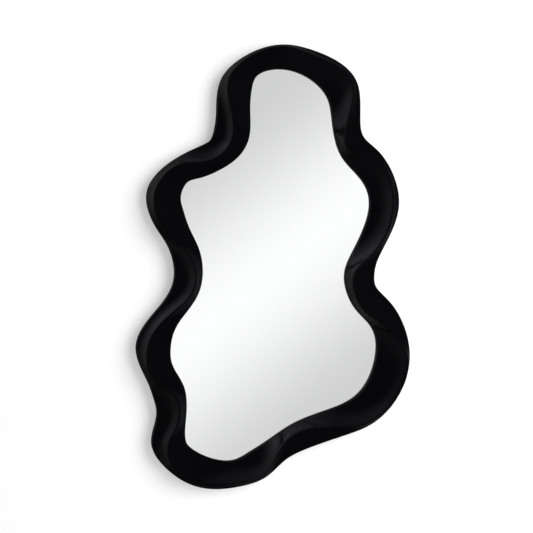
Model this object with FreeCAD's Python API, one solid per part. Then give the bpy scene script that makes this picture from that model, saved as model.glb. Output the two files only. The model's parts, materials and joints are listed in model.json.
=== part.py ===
import FreeCAD, Part
import math
import os

from FreeCAD import Vector

# A wall mirror with an irregular, wavy outline: six lobes and six waists.
# The frame is carved from six hardwood blocks, dowelled and glued end to end at the waists.
# A rounded crest winds along it, near the outer side at the lobes and near the glass at the waists.
#
# Millimetres. +X is the viewer's right, +Z is up and +Y goes into the wall. The origin lies on the wall,
# midway between the seats of the two hanging rings. Heights are measured from the frame's flat back
# towards the viewer, and distances from the edge of the glass opening outwards.

# Outline
OUTLINE_HEIGHT = 930.5  # between the middles of the moulding at its highest and lowest stations

# Carved moulding
CREST_HEIGHT = 38.0
CREST_ROLL = 3.0  # half width of the round along the crest
INNER_HOLLOW = 0.1  # sag at mid flank, for each millimetre of flank width, towards the glass
OUTER_HOLLOW = 0.15  # and away from the glass
SIDE_HEIGHT = 24.0  # top of the outer side wall
EDGE_CHAMFER = 1.8  # where a flank meets a wall

# Rebates behind the lip, and what they hold, from the back to the lip
LIP_THICKNESS = 4.3
LIP_OVERLAP = 7.0
BOARD_MARGIN = 12.0  # how far the board's rebate is wider than the glass rebate
BOARD_THICKNESS = 4.0
FOAM_THICKNESS = 1.5
COATING_THICKNESS = 0.2
GLASS_THICKNESS = 4.0
FELT_THICKNESS = 1.0
GLASS_CLEARANCE = 1.5  # all round, held by the setting blocks
BOARD_CLEARANCE = 1.0
FELT_SETBACK = 1.5  # behind the edge of the lip, so that it doesn't show

# Setting blocks between the glass and its rebate
BLOCK_LENGTH = 25.0
BLOCKS_IN_SPAN = 2
BLOCK_GAP = 0.1  # from the glass, and from the rebate

# Dowels in the joints between the frame's blocks
DOWEL_DIAMETER = 8.0
DOWEL_LENGTH = 50.0
DOWEL_HEIGHT = 10.0
DOWEL_FROM_REBATE = 10.0
DOWEL_FROM_SIDE = 13.0
DOWEL_CHAMFER = 1.0
GLUE_LINE = 0.1  # all round a dowel
BORE_RELIEF = 1.0  # past each end of a dowel

# Countersunk screws
SCREW_HEAD_ANGLE = 90.0
SCREW_CLEARANCE = 0.1
BOARD_SCREW_PITCH = 170.0  # about this far apart
BOARD_SCREW_DIAMETER = 3.0
BOARD_SCREW_HEAD = 6.0
BOARD_SCREW_LENGTH = 12.0
HANGER_SCREW_DIAMETER = 3.5
HANGER_SCREW_HEAD = 7.0
HANGER_SCREW_LENGTH = 16.0
HANGER_SCREW_DROPS = (22.0, 35.0)  # below the hinge axis

# Hangers: a folded steel strap and a hinged ring on each upper lobe. The outline is as wide as their
# spacing makes it.
HANGER_SPACING = 518.0
HANGER_OUTSET = 9.0  # outwards from the middle of the moulding, at the stations beside the hangers
STRAP_THICKNESS = 1.0
STRAP_WIDTH = 14.0
STRAP_LENGTH = 43.0  # below the hinge axis
STRAP_CLOSING = 7.5  # below the hinge axis, where the two layers of the strap meet
STRAP_CORNER = 5.0
RING_WIRE = 3.0
RING_WIDTH = 20.0  # between the wire's centre lines
RING_REACH = 13.5  # from the hinge axis to the wire's centre line at the top
RING_CORNER = 2.5
HINGE_CLEARANCE = 0.15
RING_REST_GAP = 0.3  # between the leaning ring and the frame's back

# Bumper pads, which hold the frame off the wall
PAD_DIAMETER = 16.0
PAD_HEIGHT = 6.0
PAD_TAPER = 1.5
PAD_CHAMFER = 0.8

# The frame's six blocks, clockwise as seen from the front. Each starts at its joint, in a waist, and ends
# where the next one starts. Each station gives the middle of the moulding (x, z), the moulding's width
# there and the crest's distance from the opening.
BLOCKS = {
    "frame_top_arch": [
        (-131, 76, 67, 27.5),
        (-97, 126, 80, 39.5),
        (-94, 166, 76, 44.5),
        (-84, 239, 70, 58),
        (-61, 269, 53, 45),
        (18, 296.5, 53, 46),
        (78, 284, 58, 43.5),
        (153, 226, 74, 59.5),
        (161, 186, 66, 41.5),
    ],
    "frame_upper_right": [
        (178, 98, 64, 16),
        (215, 59, 70, 48.5),
        (251, -23, 66, 48.5),
        (206, -151, 58, 33),
        (193, -196, 66, 14),
    ],
    "frame_lower_right": [
        (205, -240, 65, 8),
        (241, -280, 67, 12.5),
        (271, -372, 76, 65.5),
        (199, -501, 71, 61.5),
        (156, -520, 66, 47.5),
    ],
    "frame_bottom": [
        (48, -558, 61, 16),
        (1, -586, 57, 30.5),
        (-42, -617, 65, 57.5),
        (-89, -634, 58, 47),
        (-220, -593, 69, 55.5),
        (-238, -563, 76, 41),
    ],
    "frame_lower_left": [
        (-235, -526, 68, 22.5),
        (-237, -454, 72, 28),
        (-254, -416, 66, 50),
        (-272, -353, 77, 52.5),
        (-236, -278, 56, 28),
    ],
    "frame_upper_left": [
        (-199, -218, 62, 15),
        (-200, -146, 63, 28),
        (-218, -105, 61, 49),
        (-239, -62, 72, 63),
        (-249, -16, 76, 60),
        (-210, 39, 58, 42.5),
    ],
}
# Stations with a bumper pad behind them, counted from 0 within the block
PAD_STATIONS = {
    "frame_top_arch": 5,
    "frame_lower_right": 3,
    "frame_bottom": 3,
    "frame_lower_left": 3,
}
# Middles of the moulding beside the left and right hangers
HANGER_STATIONS = (BLOCKS["frame_upper_left"][4], BLOCKS["frame_upper_right"][2])

# Heights and distances worked out from the sizes above
FOAM_FRONT = BOARD_THICKNESS + FOAM_THICKNESS
COATING_FRONT = FOAM_FRONT + COATING_THICKNESS
GLASS_FRONT = COATING_FRONT + GLASS_THICKNESS
LIP_UNDERSIDE = GLASS_FRONT + FELT_THICKNESS
LIP_HEIGHT = LIP_UNDERSIDE + LIP_THICKNESS
BOARD_REBATE = LIP_OVERLAP + BOARD_MARGIN
GLASS_EDGE = LIP_OVERLAP - GLASS_CLEARANCE
BOARD_EDGE = BOARD_REBATE - BOARD_CLEARANCE
BACK_LEVEL = -PAD_HEIGHT
HINGE_BEHIND = STRAP_THICKNESS + HINGE_CLEARANCE + RING_WIRE / 2
HINGE_DROP = RING_REACH - RING_WIRE / 2

STATIONS = [station for block in BLOCKS.values() for station in block]
COUNT = len(STATIONS)
# How far the stations spread: sideways so that the side lobes stay with the hangers, and up and down so
# that the outline has its height
SPREAD = (HANGER_SPACING - 2 * HANGER_OUTSET) / (HANGER_STATIONS[1][0] - HANGER_STATIONS[0][0])
LEVELS = [z for x, z, width, crest in STATIONS]
RISE = OUTLINE_HEIGHT / (max(LEVELS) - min(LEVELS))
CENTRES = [Vector(x * SPREAD, 0, z * RISE) for x, z, width, crest in STATIONS]
WIDTHS = [width for x, z, width, crest in STATIONS]
CRESTS = [crest for x, z, width, crest in STATIONS]
DEGREE = 3
FLAT = 1e-6  # a smaller rise than this is none

TO_VIEWER = Vector(0, -1, 0)
TO_WALL = Vector(0, 1, 0)


# ---- Curves that run along the moulding ----


def chord_marks():
    """Distance run at each station, along straight chords, once round and back to the first."""
    marks = [0.0]
    for here, following in zip(CENTRES, CENTRES[1:] + CENTRES[:1]):
        marks.append(marks[-1] + here.distanceToPoint(following))
    return marks


MARKS = chord_marks()


def closed_curve(points):
    """Smooth closed curve with one point at each station, in step with all its neighbours."""
    curve = Part.BSplineCurve()
    curve.interpolate(Points=points, PeriodicFlag=True, Parameters=MARKS)
    return curve


CENTRELINE = closed_curve(CENTRES)


def along(mark):
    """Direction of the moulding at a mark, clockwise as seen from the front."""
    return CENTRELINE.tangent(mark)[0]


def outward(mark):
    """Direction across the moulding at a mark, away from the glass."""
    run = along(mark)
    return Vector(-run.z, 0, run.x)


def section_point(index, distance, height):
    """Point of the section at a station."""
    across = outward(MARKS[index]) * (distance - WIDTHS[index] / 2)
    return CENTRES[index] + across + TO_VIEWER * (PAD_HEIGHT + height)


def rail(distances, height):
    """Closed level curve, at a distance given for each station."""
    return closed_curve([section_point(index, distances[index], height) for index in range(COUNT)])


def even_rail(distance, height):
    """Closed level curve at one distance from the edge of the opening."""
    return rail([distance] * COUNT, height)


def stretch(curve, start, end):
    """The part of a closed curve between two marks."""
    piece = curve.copy()
    piece.segment(start, end)
    return piece


def spread(start, end, count):
    """Marks in the middle of equal shares of a span."""
    share = (end - start) / count
    return [start + share * (number + 0.5) for number in range(count)]


def block_spans():
    """Name, first station and last station of each block."""
    spans = []
    first = 0
    for name, block in BLOCKS.items():
        spans.append((name, first, first + len(block)))
        first += len(block)
    return spans


SPANS = block_spans()


# ---- Solids from faces ----


def solid_of(faces):
    """Solid enclosed by faces that meet along their edges."""
    skin = Part.makeCompound(faces)
    skin.sewShape()
    solid = Part.Solid(skin.Shells[0])
    if solid.Volume < 0:
        solid.reverse()
    return solid


def turned(outline, centre, axis):
    """Solid turned from a half outline of (radius, distance along the axis) points."""
    side = Vector(1, 0, 0)
    points = [centre + side * radius + axis * distance for radius, distance in outline]
    face = Part.Face(Part.makePolygon(points + points[:1]))
    return face.revolve(centre, axis, 360)


def holed_face(outer, inner):
    """Flat face between an outer and an inner wire."""
    return Part.makeFace([outer, inner], "Part::FaceMakerBullseye")


def sheet(distance, back, front):
    """Flat sheet that fills the opening out to a distance past its edge."""
    edges = [even_rail(distance, height).toShape() for height in (back, front)]
    faces = [Part.Face(Part.Wire(edge)) for edge in edges]
    return solid_of(faces + [Part.makeRuledSurface(*edges)])


# ---- The carved frame ----


def between(origin, target, reach):
    """Point at a reach from the origin, measured sideways, on the straight way to the target."""
    share = reach / abs(target[0] - origin[0])
    return tuple(a + (b - a) * share for a, b in zip(origin, target))


def front_controls(index):
    """Control points (distance, height) of the carved front at a station, from the lip to the side.

    The two flanks are hollow, and the peak is set so that the round between them tops out at the
    crest's height."""
    width = WIDTHS[index]
    crest = CRESTS[index]
    flanks = (crest, width - crest)
    lip = (EDGE_CHAMFER, LIP_HEIGHT)
    side = (width - EDGE_CHAMFER, SIDE_HEIGHT)
    inner_cove = (crest - flanks[0] / 2, (LIP_HEIGHT + CREST_HEIGHT) / 2 - INNER_HOLLOW * flanks[0])
    outer_cove = (crest + flanks[1] / 2, (SIDE_HEIGHT + CREST_HEIGHT) / 2 - OUTER_HOLLOW * flanks[1])
    reaches = [min(CREST_ROLL, flank / 4) for flank in flanks]
    shares = [reach / (flank / 2) for reach, flank in zip(reaches, flanks)]
    drawn_down = inner_cove[1] * shares[0] + outer_cove[1] * shares[1]
    peak = (crest, (6 * CREST_HEIGHT - drawn_down) / (6 - sum(shares)))
    inner_shoulder = between(peak, inner_cove, reaches[0])
    outer_shoulder = between(peak, outer_cove, reaches[1])
    return [lip, inner_cove, inner_shoulder, peak, outer_shoulder, outer_cove, side]


def section_controls(index):
    """The same control points in space."""
    return [section_point(index, distance, height) for distance, height in front_controls(index)]


CONTROLS = [section_controls(index) for index in range(COUNT)]
FRONT_RAILS = [closed_curve(list(row)) for row in zip(*CONTROLS)]
ACROSS_SPANS = len(FRONT_RAILS) - DEGREE
ACROSS_KNOTS = [float(knot) for knot in range(ACROSS_SPANS + 1)]
ACROSS_MULTS = [DEGREE + 1] + [1] * (ACROSS_SPANS - 1) + [DEGREE + 1]

# The rest of the section: lip, glass rebate, board's rebate, back and outer side
WALL_RAILS = [
    FRONT_RAILS[0],
    even_rail(0, LIP_HEIGHT - EDGE_CHAMFER),
    even_rail(0, LIP_UNDERSIDE),
    even_rail(LIP_OVERLAP, LIP_UNDERSIDE),
    even_rail(LIP_OVERLAP, BOARD_THICKNESS),
    even_rail(BOARD_REBATE, BOARD_THICKNESS),
    even_rail(BOARD_REBATE, 0),
    rail(WIDTHS, 0),
    rail(WIDTHS, SIDE_HEIGHT - EDGE_CHAMFER),
    FRONT_RAILS[-1],
]


def front_face(start, end):
    """The carved front between two marks: one surface, smooth across and along."""
    rails = [stretch(curve, start, end) for curve in FRONT_RAILS]
    surface = Part.BSplineSurface()
    surface.buildFromPolesMultsKnots(
        [curve.getPoles() for curve in rails],
        ACROSS_MULTS,
        rails[0].getMultiplicities(),
        ACROSS_KNOTS,
        rails[0].getKnots(),
        False,
        False,
        DEGREE,
        DEGREE,
    )
    return surface.toShape()


def flat_strip(one, other, start, end):
    """Flat face between two level rails at one height."""
    rails = [stretch(curve, start, end) for curve in (one, other)]
    ends = [Part.makeLine(rails[0].value(mark), rails[1].value(mark)) for mark in (start, end)]
    edges = [rails[0].toShape(), ends[1], rails[1].toShape(), ends[0]]
    return Part.Face(Part.Wire(Part.__sortEdges__(edges)))


def wall_face(one, other, start, end):
    """Step, wall or chamfer between two neighbouring rails."""
    if abs(one.value(start).y - other.value(start).y) < FLAT:
        return flat_strip(one, other, start, end)
    edges = [stretch(curve, start, end).toShape() for curve in (one, other)]
    return Part.makeRuledSurface(*edges)


def end_face(index):
    """The flat end of a block, square across the moulding at a station."""
    profile = Part.BSplineCurve()
    profile.buildFromPolesMultsKnots(CONTROLS[index], ACROSS_MULTS, ACROSS_KNOTS, False, DEGREE)
    corners = [curve.value(MARKS[index]) for curve in WALL_RAILS]
    edges = [Part.makeLine(one, other) for one, other in zip(corners, corners[1:])]
    return Part.Face(Part.Wire(Part.__sortEdges__([profile.toShape()] + edges)))


def carved_block(first, last):
    """One block of the frame before it is drilled, between the stations where it is jointed."""
    start = MARKS[first]
    end = MARKS[last]
    faces = [front_face(start, end), end_face(first), end_face(last % COUNT)]
    for one, other in zip(WALL_RAILS, WALL_RAILS[1:]):
        faces.append(wall_face(one, other, start, end))
    return solid_of(faces)


# ---- Dowels ----


def dowel_rod(index, distance, radius, length, chamfer):
    """Rod across the joint at a station, with its ends chamfered."""
    axis = along(MARKS[index])
    start = section_point(index, distance, DOWEL_HEIGHT) - axis * (length / 2)
    rod = Part.makeCylinder(radius, length, start, axis)
    if chamfer:
        ends = [edge for edge in rod.Edges if edge.Curve.TypeId == "Part::GeomCircle"]
        rod = rod.makeChamfer(chamfer, ends)
    return rod


def joint_rods(index, radius, length, chamfer=0):
    """The two rods of one joint."""
    distances = (BOARD_REBATE + DOWEL_FROM_REBATE, WIDTHS[index] - DOWEL_FROM_SIDE)
    return [dowel_rod(index, distance, radius, length, chamfer) for distance in distances]


def joint_dowels():
    """All the dowels, two in each joint."""
    dowels = []
    for name, first, last in SPANS:
        dowels += joint_rods(first, DOWEL_DIAMETER / 2, DOWEL_LENGTH, DOWEL_CHAMFER)
    return dowels


def dowel_bores(index):
    """The holes for one joint's dowels, in both its blocks."""
    return joint_rods(index, DOWEL_DIAMETER / 2 + GLUE_LINE, DOWEL_LENGTH + 2 * BORE_RELIEF)


# ---- Screws ----


def screw(place, diameter, head, length):
    """Countersunk screw driven towards the viewer, with its head's face at the place given."""
    cone = (head - diameter) / 2 / math.tan(math.radians(SCREW_HEAD_ANGLE / 2))
    outline = [(0, 0), (head / 2, 0), (diameter / 2, cone), (diameter / 2, length - diameter), (0, length)]
    return turned(outline, place, TO_VIEWER)


def screw_hole(place, diameter, head, length):
    """The hole that the same screw fits in."""
    grown = 2 * SCREW_CLEARANCE
    return screw(place, diameter + grown, head + grown, length + grown)


def board_screw_places(first, last):
    """Middles of the board's screws along one block, in the strip where the board bears on the frame."""
    line = even_rail((LIP_OVERLAP + BOARD_EDGE) / 2, 0)
    start = MARKS[first]
    end = MARKS[last]
    count = max(2, round((end - start) / BOARD_SCREW_PITCH))
    return [line.value(mark) for mark in spread(start, end, count)]


def all_board_screw_places():
    """The same for the whole frame."""
    return [place for name, first, last in SPANS for place in board_screw_places(first, last)]


def hanger_screw_places(side):
    """Middles of one hanger's screws, on the face of its strap. The side is -1 for left, 1 for right."""
    level = BACK_LEVEL + 2 * STRAP_THICKNESS
    return [
        Vector(side * HANGER_SPACING / 2, level, -HINGE_DROP - drop) for drop in HANGER_SCREW_DROPS
    ]


def board_screws():
    sizes = (BOARD_SCREW_DIAMETER, BOARD_SCREW_HEAD, BOARD_SCREW_LENGTH)
    return [screw(place, *sizes) for place in all_board_screw_places()]


def board_screw_holes():
    sizes = (BOARD_SCREW_DIAMETER, BOARD_SCREW_HEAD, BOARD_SCREW_LENGTH)
    return [screw_hole(place, *sizes) for place in all_board_screw_places()]


def hanger_screws():
    sizes = (HANGER_SCREW_DIAMETER, HANGER_SCREW_HEAD, HANGER_SCREW_LENGTH)
    return [screw(place, *sizes) for side in (-1, 1) for place in hanger_screw_places(side)]


def hanger_screw_holes(side):
    sizes = (HANGER_SCREW_DIAMETER, HANGER_SCREW_HEAD, HANGER_SCREW_LENGTH)
    return [screw_hole(place, *sizes) for place in hanger_screw_places(side)]


# ---- Frame blocks, drilled ----


def frame_block(first, last):
    """One block with its holes for dowels and screws."""
    holes = dowel_bores(first) + dowel_bores(last % COUNT)
    holes += board_screw_holes() + hanger_screw_holes(-1) + hanger_screw_holes(1)
    block = carved_block(first, last)
    reach = block.BoundBox
    return block.cut([hole for hole in holes if reach.intersect(hole.BoundBox)])


# ---- What the rebates hold ----


def mirror_glass():
    return sheet(GLASS_EDGE, COATING_FRONT, GLASS_FRONT)


def silver_coating():
    """Silver and its protective paint, on the back of the glass."""
    return sheet(GLASS_EDGE, FOAM_FRONT, COATING_FRONT)


def foam_sheet():
    """Soft sheet that presses the glass against the felt."""
    return sheet(GLASS_EDGE, BOARD_THICKNESS, FOAM_FRONT)


def backing_board():
    return sheet(BOARD_EDGE, 0, BOARD_THICKNESS).cut(board_screw_holes())


def felt_gasket():
    """Narrow felt band between the glass and the lip."""
    faces = []
    edges = []
    for height in (GLASS_FRONT, LIP_UNDERSIDE):
        pair = [even_rail(distance, height).toShape() for distance in (GLASS_EDGE, FELT_SETBACK)]
        faces.append(holed_face(*[Part.Wire(edge) for edge in pair]))
        edges.append(pair)
    walls = [Part.makeRuledSurface(back, front) for back, front in zip(*edges)]
    return solid_of(faces + walls)


def setting_blocks():
    """Small plastic strips that centre the glass in its rebate."""
    inner = even_rail(GLASS_EDGE + BLOCK_GAP, COATING_FRONT)
    outer = even_rail(LIP_OVERLAP - BLOCK_GAP, COATING_FRONT)
    blocks = []
    for name, first, last in SPANS:
        for middle in spread(MARKS[first], MARKS[last], BLOCKS_IN_SPAN):
            strip = flat_strip(inner, outer, middle - BLOCK_LENGTH / 2, middle + BLOCK_LENGTH / 2)
            blocks.append(strip.extrude(TO_VIEWER * GLASS_THICKNESS))
    return blocks


# ---- Hangers ----


def hinge_point(side):
    """Middle of a hanger's hinge."""
    return Vector(side * HANGER_SPACING / 2, BACK_LEVEL + HINGE_BEHIND, -HINGE_DROP)


def strap_outline():
    """Side view of a strap: a sheet folded round the ring's bar, as an outer and an inner wire.

    Each point is (drop below the hinge axis, distance behind the frame)."""
    inner_radius = RING_WIRE / 2 + HINGE_CLEARANCE
    middle_radius = inner_radius + STRAP_THICKNESS / 2
    outer_radius = inner_radius + STRAP_THICKNESS
    fall = HINGE_BEHIND - 1.5 * STRAP_THICKNESS
    slope = math.acos(middle_radius / math.hypot(STRAP_CLOSING, fall)) - math.atan2(fall, STRAP_CLOSING)
    wires = []
    for radius, level in ((outer_radius, 2 * STRAP_THICKNESS), (inner_radius, STRAP_THICKNESS)):
        bottom = (0, HINGE_BEHIND - radius)
        bend = (-radius, HINGE_BEHIND)
        leaving = (radius * math.cos(slope), HINGE_BEHIND + radius * math.sin(slope))
        landing = (leaving[0] + (leaving[1] - level) * math.tan(slope), level)
        wires.append((bottom, bend, leaving, landing))
    return wires


def is_foot_corner(edge, level):
    """Whether an edge of a strap runs through its thickness at a corner of its lower end."""
    ends = [vertex.Point for vertex in edge.Vertexes]
    low = all(abs(end.z - level) < FLAT for end in ends)
    return low and abs(ends[0].x - ends[-1].x) < FLAT


def hanger_strap(side):
    """Strap of one hanger: two layers of sheet that close round the ring's bar at the top."""
    hinge = hinge_point(side)
    edge = hinge.x - STRAP_WIDTH / 2
    outer, inner = [
        [Vector(edge, BACK_LEVEL + behind, hinge.z - drop) for drop, behind in wire]
        for wire in strap_outline()
    ]
    foot = [Vector(edge, BACK_LEVEL + behind, hinge.z - STRAP_LENGTH) for behind in (0, 2 * STRAP_THICKNESS)]
    outside = [
        Part.makeLine(foot[0], outer[0]),
        Part.Arc(*outer[:3]).toShape(),
        Part.makeLine(outer[2], outer[3]),
        Part.makeLine(outer[3], foot[1]),
        Part.makeLine(foot[1], foot[0]),
    ]
    inside = [
        Part.Arc(*inner[:3]).toShape(),
        Part.makeLine(inner[2], inner[3]),
        Part.makeLine(inner[3], inner[0]),
    ]
    face = holed_face(Part.Wire(outside), Part.Wire(inside))
    strap = face.extrude(Vector(STRAP_WIDTH, 0, 0))
    corners = [edge for edge in strap.Edges if is_foot_corner(edge, foot[0].z)]
    return strap.makeFillet(STRAP_CORNER, corners).cut(hanger_screw_holes(side))


def hanger_ring(side):
    """D-shaped wire ring, its straight bar in the strap's fold, leaning back against the frame."""
    hinge = hinge_point(side)
    half = RING_WIDTH / 2
    corner = hinge + Vector(half - RING_CORNER, 0, RING_CORNER)
    shoulder = hinge + Vector(half, 0, RING_REACH - half)
    top = hinge + Vector(0, 0, RING_REACH)
    diagonal = math.sqrt(0.5)
    bend = corner + Vector(diagonal, 0, -diagonal) * RING_CORNER
    arch = hinge + Vector(half * diagonal, 0, RING_REACH - half + half * diagonal)
    bar_end = hinge + Vector(half - RING_CORNER, 0, 0)
    leg_foot = hinge + Vector(half, 0, RING_CORNER)
    path = Part.Wire(
        [
            Part.makeLine(hinge, bar_end),
            Part.Arc(bar_end, bend, leg_foot).toShape(),
            Part.makeLine(leg_foot, shoulder),
            Part.Arc(shoulder, arch, top).toShape(),
        ]
    )
    wire = Part.Wire(Part.makeCircle(RING_WIRE / 2, hinge, Vector(1, 0, 0)))
    right = path.makePipeShell([wire], True, False)
    ring = right.fuse(right.mirror(hinge, Vector(1, 0, 0))).removeSplitter()
    lean = math.degrees(math.asin((HINGE_BEHIND - RING_WIRE / 2 - RING_REST_GAP) / RING_REACH))
    ring.rotate(hinge, Vector(1, 0, 0), lean)
    return ring.Solids[0]


# ---- Bumper pads ----


def bumper_pads():
    """Rubber pads stuck to the back, in the middle of the strip beside the board."""
    foot = PAD_DIAMETER / 2
    top = foot - PAD_TAPER
    outline = [
        (0, 0),
        (foot, 0),
        (top, PAD_HEIGHT - PAD_CHAMFER),
        (top - PAD_CHAMFER, PAD_HEIGHT),
        (0, PAD_HEIGHT),
    ]
    pads = []
    for name, first, last in SPANS:
        if name in PAD_STATIONS:
            index = first + PAD_STATIONS[name]
            middle = section_point(index, (BOARD_REBATE + WIDTHS[index]) / 2, 0)
            pads.append(turned(outline, middle, TO_WALL))
    return pads


# ---- Every piece by name ----


def pieces():
    """Name and solids of each piece."""
    made = {name: [frame_block(first, last)] for name, first, last in SPANS}
    made["joint_dowels"] = joint_dowels()
    made["mirror_glass"] = [mirror_glass()]
    made["silver_coating"] = [silver_coating()]
    made["felt_gasket"] = [felt_gasket()]
    made["setting_blocks"] = setting_blocks()
    made["foam_sheet"] = [foam_sheet()]
    made["backing_board"] = [backing_board()]
    made["backing_screws"] = board_screws()
    made["hanger_strap_left"] = [hanger_strap(-1)]
    made["hanger_strap_right"] = [hanger_strap(1)]
    made["hanger_ring_left"] = [hanger_ring(-1)]
    made["hanger_ring_right"] = [hanger_ring(1)]
    made["hanger_screws"] = hanger_screws()
    made["bumper_pads"] = bumper_pads()
    return made


def main():
    os.makedirs("parts", exist_ok=True)
    for name, solids in pieces().items():
        shape = solids[0] if len(solids) == 1 else Part.makeCompound(solids)
        shape.exportStep(os.path.join("parts", name + ".step"))
        volume = sum(solid.Volume for solid in shape.Solids)
        print(f"{name}: {len(shape.Solids)} solid(s), {volume / 1000:.2f} cm3, valid {shape.isValid()}")


main()
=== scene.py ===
import json
import math

import bpy
from bpy.props import FloatProperty, FloatVectorProperty, PointerProperty
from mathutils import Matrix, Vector

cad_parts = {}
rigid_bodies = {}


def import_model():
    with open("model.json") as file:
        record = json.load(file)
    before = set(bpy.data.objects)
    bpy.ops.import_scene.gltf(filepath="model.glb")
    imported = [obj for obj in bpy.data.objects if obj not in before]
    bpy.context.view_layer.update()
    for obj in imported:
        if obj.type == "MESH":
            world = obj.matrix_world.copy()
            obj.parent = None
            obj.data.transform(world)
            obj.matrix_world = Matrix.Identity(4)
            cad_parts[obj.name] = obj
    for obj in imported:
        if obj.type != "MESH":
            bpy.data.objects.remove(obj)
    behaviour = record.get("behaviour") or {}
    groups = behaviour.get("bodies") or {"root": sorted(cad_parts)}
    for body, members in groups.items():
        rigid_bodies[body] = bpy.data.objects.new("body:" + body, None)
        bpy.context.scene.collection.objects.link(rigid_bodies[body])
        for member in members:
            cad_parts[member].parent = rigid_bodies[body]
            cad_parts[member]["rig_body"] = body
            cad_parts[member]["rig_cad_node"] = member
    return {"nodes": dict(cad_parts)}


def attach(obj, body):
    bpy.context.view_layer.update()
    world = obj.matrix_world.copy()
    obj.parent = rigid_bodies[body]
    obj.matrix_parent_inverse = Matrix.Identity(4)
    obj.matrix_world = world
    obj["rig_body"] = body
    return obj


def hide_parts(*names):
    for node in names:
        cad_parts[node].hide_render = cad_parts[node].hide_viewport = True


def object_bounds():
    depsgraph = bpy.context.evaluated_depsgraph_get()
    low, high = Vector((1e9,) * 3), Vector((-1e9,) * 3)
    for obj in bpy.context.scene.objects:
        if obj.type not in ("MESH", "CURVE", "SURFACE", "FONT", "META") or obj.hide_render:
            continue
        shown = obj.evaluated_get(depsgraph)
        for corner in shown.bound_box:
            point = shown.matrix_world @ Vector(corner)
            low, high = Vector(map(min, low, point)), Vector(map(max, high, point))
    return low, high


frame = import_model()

bl_info = {
    "name": "Irregular wall mirror",
    "version": (1, 0, 0),
    "blender": (4, 5, 0),
    "location": "3D View > Sidebar > Mirror",
    "description": "Finishes a carved, wavy wall mirror and its stage",
    "category": "Object",
}

# Metres, in the mirror's own frame: +X is the viewer's right, +Z is up, +Y goes into the wall, and the
# wall's face is at Y = 0.
NODES = frame["nodes"]
CAD_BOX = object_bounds()
MILLIMETRE = 0.001

FRAME_NODES = (
    "frame_top_arch",
    "frame_upper_right",
    "frame_lower_right",
    "frame_bottom",
    "frame_lower_left",
    "frame_upper_left",
)


# ---- Selecting and shaping ----


def select_only(*objects):
    """Leaves only these objects selected, with the first one active."""
    bpy.ops.object.select_all(action="DESELECT")
    for piece in objects:
        piece.select_set(True)
    bpy.context.view_layer.objects.active = objects[0]


def merged_copy(node, name):
    """A copy of a CAD node's mesh as a piece of its own, with its loose triangles joined up."""
    select_only(NODES[node])
    bpy.ops.object.duplicate()
    piece = bpy.context.active_object
    piece.name = name
    bpy.ops.object.parent_clear(type="CLEAR_KEEP_TRANSFORM")
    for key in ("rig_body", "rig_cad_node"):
        del piece[key]
    bpy.ops.mesh.customdata_custom_splitnormals_clear()
    bpy.ops.object.mode_set(mode="EDIT")
    bpy.ops.mesh.select_all(action="SELECT")
    bpy.ops.mesh.remove_doubles(threshold=0.005 * MILLIMETRE)
    bpy.ops.mesh.tris_convert_to_quads()
    bpy.ops.object.mode_set(mode="OBJECT")
    return piece


def loose_parts(node, name):
    """Merged copies of a CAD node's separate solids, one object each."""
    merged_copy(node, name)
    bpy.ops.mesh.separate(type="LOOSE")
    return list(bpy.context.selected_objects)


def middle_of(piece):
    """Middle of a piece's box, with all its transforms applied."""
    corners = [Vector(corner) for corner in piece.bound_box]
    return (corners[0] + corners[6]) / 2


def spread_copies(model, parts, turn):
    """Puts a copy of the model, each turned a bit further about Y, in place of every other part."""
    home = middle_of(model)
    copies = [model]
    for number, part in enumerate(parts[1:], 1):
        place = middle_of(part)
        select_only(model)
        bpy.ops.object.duplicate()
        copy = bpy.context.active_object
        bpy.ops.transform.translate(value=place - home)
        bpy.ops.transform.rotate(value=turn * number, orient_axis="Y", center_override=place)
        bpy.ops.object.transform_apply(location=True, rotation=True, scale=True)
        bpy.data.objects.remove(part)
        copies.append(copy)
    select_only(*copies)
    bpy.ops.object.join()
    return bpy.context.active_object


def bevel(piece, width, segments=2, angle=30):
    """Rounds the sharp edges of a piece."""
    modifier = piece.modifiers.new("Rounded edges", "BEVEL")
    modifier.width = width
    modifier.segments = segments
    modifier.limit_method = "ANGLE"
    modifier.angle_limit = math.radians(angle)
    select_only(piece)
    bpy.ops.object.modifier_apply(modifier=modifier.name)


def smooth(piece, angle=35):
    """Shades a piece smooth, apart from its sharp edges."""
    select_only(piece)
    bpy.ops.object.shade_smooth_by_angle(angle=math.radians(angle))


def stand_for(piece, node, material):
    """Finishes a piece that is shown in place of a CAD node."""
    give(piece, material)
    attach(piece, "root")
    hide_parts(node)


def give(piece, material):
    """Makes a material the piece's only one."""
    piece.data.materials.clear()
    piece.data.materials.append(material)


# ---- Shader nodes ----


def add_node(tree, kind, inputs=None, **settings):
    """Adds a node, with values or links for its inputs, and its settings."""
    node = tree.nodes.new(kind)
    for key, value in settings.items():
        setattr(node, key, value)
    for key, value in (inputs or {}).items():
        if isinstance(value, bpy.types.NodeSocket):
            tree.links.new(value, node.inputs[key])
        else:
            node.inputs[key].default_value = value
    return node


def object_place(tree):
    return add_node(tree, "ShaderNodeTexCoord").outputs["Object"]


def ranged(tree, value, low, high, start=0.0, end=1.0, kind="LINEAR"):
    """Carries a value over from one range to another."""
    inputs = {"Value": value, "From Min": start, "From Max": end, "To Min": low, "To Max": high}
    return add_node(tree, "ShaderNodeMapRange", inputs, interpolation_type=kind).outputs["Result"]


def maths(tree, operation, *values):
    node = add_node(tree, "ShaderNodeMath", dict(enumerate(values)), operation=operation)
    return node.outputs[0]


def noise(tree, place, scale, detail=3.0, roughness=0.5):
    inputs = {"Vector": place, "Scale": scale, "Detail": detail, "Roughness": roughness}
    return add_node(tree, "ShaderNodeTexNoise", inputs).outputs["Fac"]


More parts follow.
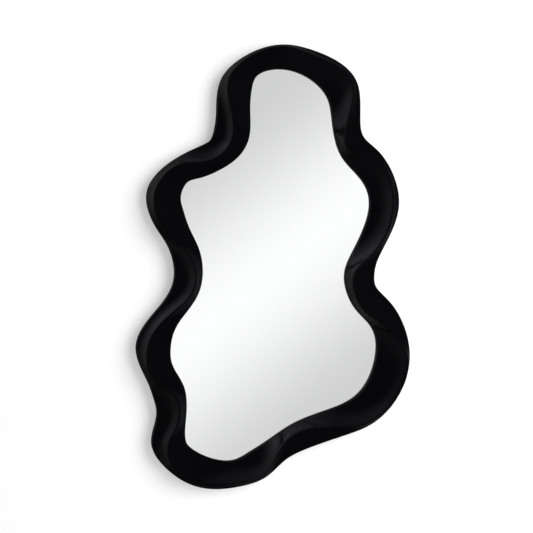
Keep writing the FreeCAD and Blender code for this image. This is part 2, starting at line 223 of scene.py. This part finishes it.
def mixed_colour(tree, factor, first, second):
    node = add_node(tree, "ShaderNodeMix", {"Factor": factor}, data_type="RGBA")
    for socket, value in ((node.inputs[6], first), (node.inputs[7], second)):
        if isinstance(value, bpy.types.NodeSocket):
            tree.links.new(value, socket)
        else:
            socket.default_value = (*value[:3], 1.0)
    return node.outputs[2]


def bumped(tree, height, distance):
    inputs = {"Height": height, "Distance": distance, "Strength": 1.0}
    return add_node(tree, "ShaderNodeBump", inputs).outputs["Normal"]


def new_group(name, inputs, outputs):
    """A shader node group with float inputs, given as name and value, and typed outputs."""
    group = bpy.data.node_groups.new(name, "ShaderNodeTree")
    for label, value in inputs.items():
        socket = group.interface.new_socket(name=label, in_out="INPUT", socket_type="NodeSocketFloat")
        socket.default_value = value
    for label, kind in outputs.items():
        group.interface.new_socket(name=label, in_out="OUTPUT", socket_type=kind)
    start = group.nodes.new("NodeGroupInput")
    end = group.nodes.new("NodeGroupOutput")
    return group, start.outputs, end.inputs


def use_group(tree, name, **values):
    node = add_node(tree, "ShaderNodeGroup", node_tree=bpy.data.node_groups[name])
    for key, value in values.items():
        node.inputs[key.replace("_", " ").capitalize()].default_value = value
    return node.outputs


def principled(name, values):
    """A material with one Principled shader, returned with its node tree and that shader."""
    material = bpy.data.materials.new(name)
    material.use_nodes = True
    shader = material.node_tree.nodes["Principled BSDF"]
    for key, value in values.items():
        if key == "Base Color":
            value = (*value[:3], 1.0)
        shader.inputs[key].default_value = value
    return material, material.node_tree, shader


# ---- Effects shared by materials ----


PATCHES_PER_METRE = 14.0


def make_unevenness_group():
    """Slight waviness and fine speckle of a sprayed, moulded or rolled surface."""
    group, given, wanted = new_group(
        "Uneven surface",
        {"Waves per metre": 120.0, "Speckles per metre": 1500.0, "Speckle share": 0.25},
        {"Height": "NodeSocketFloat", "Patches": "NodeSocketFloat"},
    )
    place = object_place(group)
    waves = noise(group, place, given["Waves per metre"], detail=1.5)
    speckle = noise(group, place, given["Speckles per metre"], detail=2.0)
    share = given["Speckle share"]
    kept = maths(group, "SUBTRACT", 1.0, share)
    waved = maths(group, "MULTIPLY", waves, kept)
    height = maths(group, "ADD", waved, maths(group, "MULTIPLY", speckle, share))
    patches = noise(group, place, PATCHES_PER_METRE, detail=4.0, roughness=0.6)
    group.links.new(height, wanted["Height"])
    group.links.new(patches, wanted["Patches"])


def make_dust_group():
    """Specks of dust, sparse and of uneven size: 1 on a speck, 0 beside it."""
    group, given, wanted = new_group(
        "Dust specks",
        {"Specks per metre": 260.0, "Speck size": 0.1},
        {"Mask": "NodeSocketFloat"},
    )
    place = object_place(group)
    spread = {"Vector": place, "Scale": given["Specks per metre"], "Randomness": 1.0}
    cells = add_node(group, "ShaderNodeTexVoronoi", spread)
    chosen = add_node(group, "ShaderNodeSeparateColor", {"Color": cells.outputs["Color"]}).outputs["Red"]
    size = maths(group, "MULTIPLY", given["Speck size"], ranged(group, chosen, -1.5, 1.0))
    near = maths(group, "LESS_THAN", cells.outputs["Distance"], size)
    group.links.new(near, wanted["Mask"])


def make_scratch_group():
    """Hairline scratches that run up and down worn metal."""
    group, given, wanted = new_group(
        "Hairline scratches",
        {"Scratches per metre": 500.0},
        {"Mask": "NodeSocketFloat"},
    )
    place = object_place(group)
    drawn_out = {"Vector": place, "Scale": (1.0, 12.0, 0.06)}
    upright = add_node(group, "ShaderNodeMapping", drawn_out).outputs["Vector"]
    lines = noise(group, upright, given["Scratches per metre"], detail=2.0)
    group.links.new(ranged(group, lines, 0.0, 1.0, 0.62, 0.7), wanted["Mask"])


def make_groups():
    make_unevenness_group()
    make_dust_group()
    make_scratch_group()


# ---- Materials ----

# What a speck of dust and a scratch add to the roughness
DUST_DULLNESS = 0.25
SCRATCH_DULLNESS = 0.15


def lacquer_material(settings):
    """Satin black lacquer, sprayed over the carved wood."""
    material, tree, shader = principled(
        "Satin black lacquer",
        {
            "Base Color": settings.lacquer_colour,
            "Roughness": settings.lacquer_roughness,
            "Specular IOR Level": 0.31,
            "Specular Tint": (0.93, 0.93, 1.0, 1.0),
        },
    )
    surface = use_group(tree, "Uneven surface", Waves_per_metre=150.0, Speckles_per_metre=1800.0)
    dust = use_group(tree, "Dust specks", Specks_per_metre=210.0, Speck_size=0.05)
    rough = settings.lacquer_roughness
    sheen = ranged(tree, surface["Patches"], rough - 0.03, rough + 0.05, 0.3, 0.7)
    dusted = maths(tree, "ADD", sheen, maths(tree, "MULTIPLY", dust["Mask"], DUST_DULLNESS))
    tree.links.new(dusted, shader.inputs["Roughness"])
    deep = settings.lacquer_colour
    lighter = [channel * 3 + 0.004 for channel in deep]
    tree.links.new(mixed_colour(tree, dust["Mask"], deep, lighter), shader.inputs["Base Color"])
    tree.links.new(bumped(tree, surface["Height"], 0.02 * MILLIMETRE), shader.inputs["Normal"])
    return material


def glass_material():
    """Clear float glass with a faint green cast."""
    values = {"Base Color": (0.997, 0.998, 0.997), "Roughness": 0.0, "IOR": 1.52, "Transmission Weight": 1.0}
    return principled("Clear float glass", values)[0]


def silver_material():
    """Silver coating, seen through the glass."""
    values = {"Base Color": (0.96, 0.965, 0.965), "Metallic": 1.0, "Roughness": 0.0}
    return principled("Silver coating", values)[0]


def felt_material():
    """Dark wool felt."""
    material, tree, shader = principled(
        "Dark felt",
        {"Base Color": (0.02, 0.02, 0.022), "Roughness": 0.95, "Sheen Weight": 0.6, "Sheen Roughness": 0.4},
    )
    surface = use_group(
        tree, "Uneven surface", Waves_per_metre=900.0, Speckles_per_metre=5000.0, Speckle_share=0.6
    )
    colour = mixed_colour(tree, surface["Height"], (0.008, 0.008, 0.009), (0.05, 0.05, 0.055))
    tree.links.new(colour, shader.inputs["Base Color"])
    tree.links.new(bumped(tree, surface["Height"], 0.3 * MILLIMETRE), shader.inputs["Normal"])
    return material


def foam_material():
    """White closed-cell foam."""
    material, tree, shader = principled("White foam", {"Base Color": (0.8, 0.8, 0.77), "Roughness": 0.75})
    place = object_place(tree)
    cells = add_node(tree, "ShaderNodeTexVoronoi", {"Vector": place, "Scale": 1400.0}).outputs["Distance"]
    colour = mixed_colour(tree, cells, (0.7, 0.7, 0.67), (0.86, 0.86, 0.84))
    tree.links.new(colour, shader.inputs["Base Color"])
    tree.links.new(bumped(tree, cells, 0.2 * MILLIMETRE), shader.inputs["Normal"])
    return material


def plastic_material():
    """Natural white plastic of the setting blocks."""
    values = {"Base Color": (0.72, 0.72, 0.68), "Roughness": 0.4}
    material, tree, shader = principled("Natural plastic", values)
    surface = use_group(tree, "Uneven surface", Waves_per_metre=400.0, Speckles_per_metre=4000.0)
    tree.links.new(bumped(tree, surface["Height"], 0.03 * MILLIMETRE), shader.inputs["Normal"])
    return material


def dowel_material():
    """Turned beech."""
    material, tree, shader = principled("Beech", {"Base Color": (0.56, 0.36, 0.2), "Roughness": 0.6})
    place = object_place(tree)
    grain = noise(tree, place, 700.0, detail=4.0)
    colour = mixed_colour(tree, grain, (0.42, 0.25, 0.13), (0.66, 0.46, 0.28))
    tree.links.new(colour, shader.inputs["Base Color"])
    tree.links.new(bumped(tree, grain, 0.05 * MILLIMETRE), shader.inputs["Normal"])
    return material


def board_material():
    """Brown hard fibreboard, with pressed fibres that lie in three directions."""
    values = {"Base Color": (0.19, 0.1, 0.05), "Roughness": 0.7}
    material, tree, shader = principled("Hard fibreboard", values)
    place = object_place(tree)
    fibres = []
    for turn in (0.0, 60.0, 120.0):
        drawn_out = {"Vector": place, "Rotation": (0.0, math.radians(turn), 0.0), "Scale": (1.0, 1.0, 9.0)}
        lying = add_node(tree, "ShaderNodeMapping", drawn_out, vector_type="TEXTURE").outputs["Vector"]
        fibres.append(noise(tree, lying, 900.0, detail=3.0, roughness=0.6))
    both = maths(tree, "MAXIMUM", fibres[0], fibres[1])
    strands = maths(tree, "MAXIMUM", both, fibres[2])
    patches = noise(tree, place, 22.0, detail=5.0, roughness=0.65)
    strand_share = 0.7
    patched = maths(tree, "MULTIPLY", patches, 1.0 - strand_share)
    shade = maths(tree, "ADD", maths(tree, "MULTIPLY", strands, strand_share), patched)
    depth = ranged(tree, shade, 0.0, 1.0, 0.4, 0.72)
    colour = mixed_colour(tree, depth, (0.09, 0.045, 0.022), (0.3, 0.175, 0.09))
    tree.links.new(colour, shader.inputs["Base Color"])
    tree.links.new(ranged(tree, patches, 0.55, 0.8), shader.inputs["Roughness"])
    tree.links.new(bumped(tree, strands, 0.12 * MILLIMETRE), shader.inputs["Normal"])
    return material


# Dull plating scatters some of the light, so it isn't all metallic
PLATING_SHINE = 0.6


def steel_material(name, colour, roughness):
    """Plated steel with hairline scratches."""
    values = {"Base Color": colour, "Metallic": PLATING_SHINE, "Roughness": roughness}
    material, tree, shader = principled(name, values)
    surface = use_group(tree, "Uneven surface", Waves_per_metre=300.0, Speckles_per_metre=3500.0)
    scratches = use_group(tree, "Hairline scratches", Scratches_per_metre=650.0)
    clouded = ranged(tree, surface["Patches"], roughness - 0.06, roughness + 0.12, 0.3, 0.7)
    worn = maths(tree, "ADD", clouded, maths(tree, "MULTIPLY", scratches["Mask"], SCRATCH_DULLNESS))
    tree.links.new(worn, shader.inputs["Roughness"])
    darker = [channel * 0.8 for channel in colour]
    tree.links.new(mixed_colour(tree, surface["Patches"], darker, colour), shader.inputs["Base Color"])
    tree.links.new(bumped(tree, surface["Height"], 0.02 * MILLIMETRE), shader.inputs["Normal"])
    return material


def rubber_material():
    """Black rubber of the bumper pads."""
    black = (0.018, 0.018, 0.018)
    values = {"Base Color": black, "Roughness": 0.7, "Specular IOR Level": 0.4}
    material, tree, shader = principled("Black rubber", values)
    surface = use_group(
        tree, "Uneven surface", Waves_per_metre=500.0, Speckles_per_metre=6000.0, Speckle_share=0.5
    )
    dust = use_group(tree, "Dust specks", Specks_per_metre=900.0, Speck_size=0.16)
    colour = mixed_colour(tree, dust["Mask"], black, (0.09, 0.088, 0.08))
    tree.links.new(colour, shader.inputs["Base Color"])
    tree.links.new(bumped(tree, surface["Height"], 0.05 * MILLIMETRE), shader.inputs["Normal"])
    return material


# ---- Settings ----


class FrameFinish(bpy.types.PropertyGroup):
    lacquer_colour: FloatVectorProperty(
        name="Lacquer",
        description="Colour of the lacquer on the carved frame",
        default=(0.0024, 0.0024, 0.0031),
        min=0.0,
        max=1.0,
        subtype="COLOR",
    )
    lacquer_roughness: FloatProperty(
        name="Sheen",
        description="Roughness of the lacquer: lower is glossier",
        default=0.17,
        min=0.05,
        max=1.0,
        subtype="FACTOR",
    )


class StageSettings(bpy.types.PropertyGroup):
    azimuth: FloatProperty(
        name="Azimuth",
        description="Where the camera stands round the mirror, to the left of straight ahead when negative",
        default=math.radians(-9.0),
        subtype="ANGLE",
        unit="ROTATION",
    )
    distance: FloatProperty(
        name="Distance",
        description="From the camera to the point that it looks at",
        default=2.6,
        subtype="DISTANCE",
        unit="LENGTH",
    )
    lens: FloatProperty(
        name="Lens",
        description="Focal length on a sensor 36 mm wide, in millimetres",
        default=77.93,
    )


# ---- Pieces ----


class MIRROR_OT_frame(bpy.types.Operator):
    """Lacquer the six carved blocks of the frame"""

    bl_idname = "mirror.frame"
    bl_label = "Lacquer the frame"

    def execute(self, context):
        material = lacquer_material(context.scene.frame_finish)
        for name in FRAME_NODES:
            give(NODES[name], material)
        return {"FINISHED"}


# How much smaller all round the silver is drawn, so that it and the glass don't share a face
COATING_GAP = 0.03 * MILLIMETRE


class MIRROR_OT_glass(bpy.types.Operator):
    """Silver and glaze the mirror"""

    bl_idname = "mirror.glass"
    bl_label = "Glaze the mirror"

    def execute(self, context):
        give(NODES["mirror_glass"], glass_material())
        silver = NODES["silver_coating"]
        give(silver, silver_material())
        gap = silver.modifiers.new("Hair's breadth from the glass", "DISPLACE")
        gap.strength = -COATING_GAP
        gap.mid_level = 0.0
        return {"FINISHED"}


class MIRROR_OT_backing(bpy.types.Operator):
    """Finish the hard pieces behind the glass"""

    bl_idname = "mirror.backing"
    bl_label = "Finish the backing"

    def execute(self, context):
        give(NODES["backing_board"], board_material())
        give(NODES["setting_blocks"], plastic_material())
        give(NODES["joint_dowels"], dowel_material())
        return {"FINISHED"}


class MIRROR_OT_soft_sheets(bpy.types.Operator):
    """Lay the felt band in front of the glass and the foam sheet behind it"""

    bl_idname = "mirror.soft_sheets"
    bl_label = "Lay felt and foam"

    def execute(self, context):
        felt = merged_copy("felt_gasket", "felt_band")
        bevel(felt, 0.3 * MILLIMETRE)
        smooth(felt)
        stand_for(felt, "felt_gasket", felt_material())
        foam = merged_copy("foam_sheet", "foam_layer")
        bevel(foam, 0.4 * MILLIMETRE)
        smooth(foam)
        stand_for(foam, "foam_sheet", foam_material())
        return {"FINISHED"}


class MIRROR_OT_pads(bpy.types.Operator):
    """Mould the rubber bumper pads"""

    bl_idname = "mirror.pads"
    bl_label = "Mould the pads"

    def execute(self, context):
        parts = loose_parts("bumper_pads", "rubber_pads")
        model = parts[0]
        bevel(model, 0.5 * MILLIMETRE, segments=3)
        pads = spread_copies(model, parts, math.radians(40))
        pads.name = "rubber_pads"
        smooth(pads)
        stand_for(pads, "bumper_pads", rubber_material())
        return {"FINISHED"}


class MIRROR_OT_hangers(bpy.types.Operator):
    """Plate the hangers and screws"""

    bl_idname = "mirror.hangers"
    bl_label = "Plate the hangers"

    def execute(self, context):
        zinc = steel_material("Zinc-plated steel", (0.62, 0.63, 0.64), 0.34)
        nickel = steel_material("Nickel-plated steel", (0.66, 0.64, 0.6), 0.2)
        for side in ("left", "right"):
            give(NODES[f"hanger_strap_{side}"], zinc)
            give(NODES[f"hanger_ring_{side}"], nickel)
        return {"FINISHED"}


class MIRROR_OT_screws(bpy.types.Operator):
    """Cut the cross recesses of the screws"""

    bl_idname = "mirror.screws"
    bl_label = "Cut the screws"

    def execute(self, context):
        zinc = steel_material("Zinc-plated screws", (0.6, 0.59, 0.55), 0.3)
        for node, name, head in (
            ("backing_screws", "board_screws", 6 * MILLIMETRE),
            ("hanger_screws", "strap_screws", 7 * MILLIMETRE),
        ):
            parts = loose_parts(node, name)
            model = parts[0]
            self.cut_recess(model, head)
            bevel(model, 0.12 * MILLIMETRE, segments=1)
            screws = spread_copies(model, parts, math.radians(67))
            screws.name = name
            smooth(screws)
            stand_for(screws, node, zinc)
        return {"FINISHED"}

    def cut_recess(self, screw, head):
        """Cuts a cross, tapered towards its bottom, into the face of a screw's head."""
        middle = middle_of(screw)
        face = max(corner[1] for corner in screw.bound_box)
        length = 0.55 * head
        width = 0.15 * head
        depth = 0.3 * head
        taper = 0.45
        wings = []
        for across, along in ((length, width), (width, length)):
            bpy.ops.object.select_all(action="DESELECT")
            bpy.ops.mesh.primitive_cube_add(
                size=1.0, location=(middle.x, face, middle.z), scale=(across, 2 * depth, along)
            )
            bpy.ops.object.transform_apply(location=False, rotation=False, scale=True)
            wing = bpy.context.active_object
            bpy.ops.object.mode_set(mode="EDIT")
            bpy.ops.mesh.select_all(action="DESELECT")
            bpy.ops.object.mode_set(mode="OBJECT")
            for polygon in wing.data.polygons:
                polygon.select = polygon.normal.y < -0.5
            bpy.ops.object.mode_set(mode="EDIT")
            bpy.ops.transform.resize(value=(taper, 1.0, taper))
            bpy.ops.object.mode_set(mode="OBJECT")
            wings.append(wing)
        for wing in wings:
            cut = screw.modifiers.new("Cross recess", "BOOLEAN")
            cut.operation = "DIFFERENCE"
            cut.solver = "EXACT"
            cut.object = wing
            select_only(screw)
            bpy.ops.object.modifier_apply(modifier=cut.name)
            bpy.data.objects.remove(wing)


# ---- Stage ----

# Metres. The wall stands clear of the pads by a little, so that they don't share a face
WALL_GAP = 0.3 * MILLIMETRE
WALL_SIZE = (9.0, 5.2)
WALL_MIDDLE_HEIGHT = 1.0
FLOOR_SIZE = (9.0, 9.0)
FLOOR_LEVEL = -1.6
# Light that the wall and the floor add of their own, to the camera and through glass
WALL_GLOW = 0.38
FLOOR_GLOW = 0.3
# How brightly the studio lights matt surfaces
MATT_LIGHT = 0.2
# What the camera looks at, and how wide its sensor is in millimetres
AIM = Vector((-0.0165, 0.0, -0.1733))
SENSOR_WIDTH = 36.0


def flat_plane(name, centre, width, height, upright):
    """A plane that lies flat, or stands upright with its face towards -Y."""
    turn = (math.radians(90), 0, 0) if upright else (0, 0, 0)
    bpy.ops.object.select_all(action="DESELECT")
    bpy.ops.mesh.primitive_plane_add(size=1.0, location=centre, rotation=turn)
    plane = bpy.context.active_object
    plane.name = name
    plane.scale = (width, height, 1.0)
    bpy.ops.object.transform_apply(location=True, rotation=True, scale=True)
    return plane


def painted_wall_material():
    """Matt white paint. It casts no shadow, gloss doesn't show it, and from behind it is clear."""
    material, tree, shader = principled("White wall", {"Base Color": (0.73, 0.73, 0.73), "Roughness": 0.9})
    shader.inputs["Specular IOR Level"].default_value = 0.0
    rays = add_node(tree, "ShaderNodeLightPath").outputs
    seen = maths(tree, "MAXIMUM", rays["Is Camera Ray"], rays["Is Transmission Ray"])
    shader.inputs["Emission Color"].default_value = (1.0, 1.0, 1.0, 1.0)
    tree.links.new(maths(tree, "MULTIPLY", seen, WALL_GLOW), shader.inputs["Emission Strength"])
    behind = add_node(tree, "ShaderNodeNewGeometry").outputs["Backfacing"]
    unshown = maths(tree, "MAXIMUM", rays["Is Shadow Ray"], rays["Is Glossy Ray"])
    hidden = maths(tree, "MAXIMUM", unshown, behind)
    nothing = add_node(tree, "ShaderNodeBsdfTransparent").outputs["BSDF"]
    mixed = add_node(tree, "ShaderNodeMixShader", {0: hidden, 1: shader.outputs["BSDF"], 2: nothing})
    tree.links.new(mixed.outputs["Shader"], tree.nodes["Material Output"].inputs["Surface"])
    return material


def floor_material():
    material, tree, shader = principled("Pale floor", {"Base Color": (0.7, 0.7, 0.7), "Roughness": 0.8})
    rays = add_node(tree, "ShaderNodeLightPath").outputs
    seen = maths(tree, "MAXIMUM", rays["Is Camera Ray"], rays["Is Transmission Ray"])
    shader.inputs["Emission Color"].default_value = (1.0, 1.0, 1.0, 1.0)
    tree.links.new(maths(tree, "MULTIPLY", seen, FLOOR_GLOW), shader.inputs["Emission Strength"])
    return material


def area_lamp(name, place, target, size, power):
    """A round lamp that lights matt surfaces. What gloss shows is the studio round it."""
    data = bpy.data.lights.new(name, "AREA")
    data.shape = "DISK"
    data.size = size
    data.energy = power
    lamp = bpy.data.objects.new(name, data)
    bpy.context.scene.collection.objects.link(lamp)
    lamp.location = place
    lamp.rotation_mode = "QUATERNION"
    lamp.rotation_quaternion = (Vector(target) - Vector(place)).to_track_quat("-Z", "Y")
    lamp.visible_camera = False
    lamp.visible_glossy = False
    lamp.visible_transmission = False


# What satin surfaces show of the studio: soft lights all round. Each has its azimuth, from straight out of
# the wall towards the viewer's right, its elevation and its reach, all in degrees, and its strength.
SOFT_LIGHTS = (
    (-90, 33, 60, 0.44),
    (-85, -5, 60, 0.15),
    (-71, 42, 18, 0.35),
    (-50, -43, 60, 0.07),
    (-30, 56, 36, 0.24),
    (20, 83, 18, 0.24),
    (140, -15, 60, 0.1),
    (170, 52, 45, 0.1),
)
# How much of the mirror's own picture a satin surface beside it shows
SECOND_SIGHT = 0.13

# The soft white bands that the mirror shows, measured in slopes of a ray off the glass: sideways and
# upwards over forwards
BAND_TILT = math.radians(38)
BAND_MIDDLE = -0.105
BAND_REACH = 0.13
BAND_SPACING = 0.9
BAND_LEVEL = 1.1
LEVEL_BETWEEN_BANDS = 0.71
LEAST_FORWARDS = 0.02


def mirrored_studio(tree, axes):
    """What the mirror shows: pale all round, with diagonal bands that are nearly white."""
    forwards = maths(tree, "MAXIMUM", maths(tree, "MULTIPLY", axes["Y"], -1.0), LEAST_FORWARDS)
    sideways = maths(tree, "DIVIDE", axes["X"], forwards)
    upwards = maths(tree, "DIVIDE", axes["Z"], forwards)
    rise = maths(tree, "MULTIPLY", upwards, math.cos(BAND_TILT))
    across = maths(tree, "SUBTRACT", rise, maths(tree, "MULTIPLY", sideways, math.sin(BAND_TILT)))
    off = maths(tree, "PINGPONG", maths(tree, "SUBTRACT", across, BAND_MIDDLE), BAND_SPACING / 2)
    return ranged(tree, off, BAND_LEVEL, LEVEL_BETWEEN_BANDS, 0.0, BAND_REACH, "SMOOTHSTEP")


def satin_studio(tree, direction):
    """What satin surfaces show: the sum of the soft lights."""
    total = 0.0
    for azimuth, elevation, reach, strength in SOFT_LIGHTS:
        turn = math.radians(azimuth)
        rise = math.radians(elevation)
        towards = (math.sin(turn) * math.cos(rise), -math.cos(turn) * math.cos(rise), math.sin(rise))
        nearness = add_node(tree, "ShaderNodeVectorMath", {0: direction, 1: towards}, operation="DOT_PRODUCT")
        edge = math.cos(math.radians(reach))
        light = ranged(tree, nearness.outputs["Value"], 0.0, strength, edge, 1.0, "SMOOTHSTEP")
        total = maths(tree, "ADD", total, light)
    return total


def studio_world():
    """White to the camera and pale to matt surfaces. Polished and satin surfaces show the studio."""
    world = bpy.data.worlds.new("Studio")
    bpy.context.scene.world = world
    world.use_nodes = True
    tree = world.node_tree
    tree.nodes.clear()
    direction = add_node(tree, "ShaderNodeTexCoord").outputs["Generated"]
    axes = add_node(tree, "ShaderNodeSeparateXYZ", {"Vector": direction}).outputs
    rays = add_node(tree, "ShaderNodeLightPath").outputs
    gloss = maths(tree, "MAXIMUM", rays["Is Glossy Ray"], rays["Is Transmission Ray"])
    sharp = maths(tree, "MAXIMUM", rays["Is Singular Ray"], rays["Is Transmission Ray"])
    share = ranged(tree, rays["Glossy Depth"], 1.0, SECOND_SIGHT, 1.0, 2.0)
    mirrored = maths(tree, "MULTIPLY", maths(tree, "MULTIPLY", mirrored_studio(tree, axes), sharp), share)
    later = maths(tree, "GREATER_THAN", rays["Glossy Depth"], 1.5)
    satin = maths(tree, "MAXIMUM", maths(tree, "SUBTRACT", 1.0, sharp), later)
    shown = maths(tree, "ADD", mirrored, maths(tree, "MULTIPLY", satin_studio(tree, direction), satin))
    matt = maths(tree, "MULTIPLY", rays["Is Diffuse Ray"], MATT_LIGHT)
    level = maths(tree, "ADD", maths(tree, "MULTIPLY", shown, gloss), matt)
    strength = maths(tree, "MAXIMUM", level, rays["Is Camera Ray"])
    background = add_node(tree, "ShaderNodeBackground", {"Color": (1.0, 1.0, 1.0, 1.0), "Strength": strength})
    output = add_node(tree, "ShaderNodeOutputWorld")
    tree.links.new(background.outputs["Background"], output.inputs["Surface"])
    world.cycles.sampling_method = "NONE"


class MIRROR_OT_stage(bpy.types.Operator):
    """Set the wall, floor, lamps, world and camera"""

    bl_idname = "mirror.stage"
    bl_label = "Set the stage"

    def execute(self, context):
        low, high = CAD_BOX
        wall = flat_plane("Wall", (0, WALL_GAP, WALL_MIDDLE_HEIGHT), *WALL_SIZE, upright=True)
        wall.data.materials.append(painted_wall_material())
        floor = flat_plane("Floor", (0, 0, FLOOR_LEVEL), *FLOOR_SIZE, upright=False)
        floor.data.materials.append(floor_material())
        floor.visible_glossy = False
        floor.visible_transmission = False
        middle = ((low + high) / 2).to_tuple()
        area_lamp("Lamp right", (2.4, -2.7, 0.85), middle, size=3.8, power=158.0)
        area_lamp("Lamp behind", (-0.9, 2.8, 1.3), middle, size=1.6, power=110.0)
        studio_world()
        self.set_camera(context)
        return {"FINISHED"}

    def set_camera(self, context):
        settings = context.scene.stage_settings
        back = Vector((math.sin(settings.azimuth), -math.cos(settings.azimuth), 0.0))
        data = bpy.data.cameras.new("Camera")
        data.lens = settings.lens
        data.sensor_width = SENSOR_WIDTH
        camera = bpy.data.objects.new("Camera", data)
        context.scene.collection.objects.link(camera)
        camera.location = AIM + back * settings.distance
        camera.rotation_mode = "QUATERNION"
        camera.rotation_quaternion = (-back).to_track_quat("-Z", "Y")
        context.scene.camera = camera


OPERATORS = (
    MIRROR_OT_frame,
    MIRROR_OT_glass,
    MIRROR_OT_backing,
    MIRROR_OT_soft_sheets,
    MIRROR_OT_pads,
    MIRROR_OT_hangers,
    MIRROR_OT_screws,
    MIRROR_OT_stage,
)


class MIRROR_PT_panel(bpy.types.Panel):
    bl_label = "Irregular mirror"
    bl_idname = "MIRROR_PT_panel"
    bl_space_type = "VIEW_3D"
    bl_region_type = "UI"
    bl_category = "Mirror"

    def draw(self, context):
        column = self.layout.column()
        for settings in (context.scene.frame_finish, context.scene.stage_settings):
            for name in settings.bl_rna.properties.keys():
                if name not in ("rna_type", "name"):
                    column.prop(settings, name)
        for operator in OPERATORS:
            column.operator(operator.bl_idname)


CLASSES = (FrameFinish, StageSettings, *OPERATORS, MIRROR_PT_panel)


def register():
    for cls in CLASSES:
        bpy.utils.register_class(cls)
    bpy.types.Scene.frame_finish = PointerProperty(type=FrameFinish)
    bpy.types.Scene.stage_settings = PointerProperty(type=StageSettings)


def unregister():
    del bpy.types.Scene.stage_settings
    del bpy.types.Scene.frame_finish
    for cls in reversed(CLASSES):
        bpy.utils.unregister_class(cls)


def main():
    register()
    bpy.context.scene.view_settings.view_transform = "Standard"
    make_groups()
    bpy.ops.mirror.frame()
    bpy.ops.mirror.glass()
    bpy.ops.mirror.backing()
    bpy.ops.mirror.soft_sheets()
    bpy.ops.mirror.pads()
    bpy.ops.mirror.hangers()
    bpy.ops.mirror.screws()
    bpy.ops.mirror.stage()


if __name__ == "__main__":
    main()
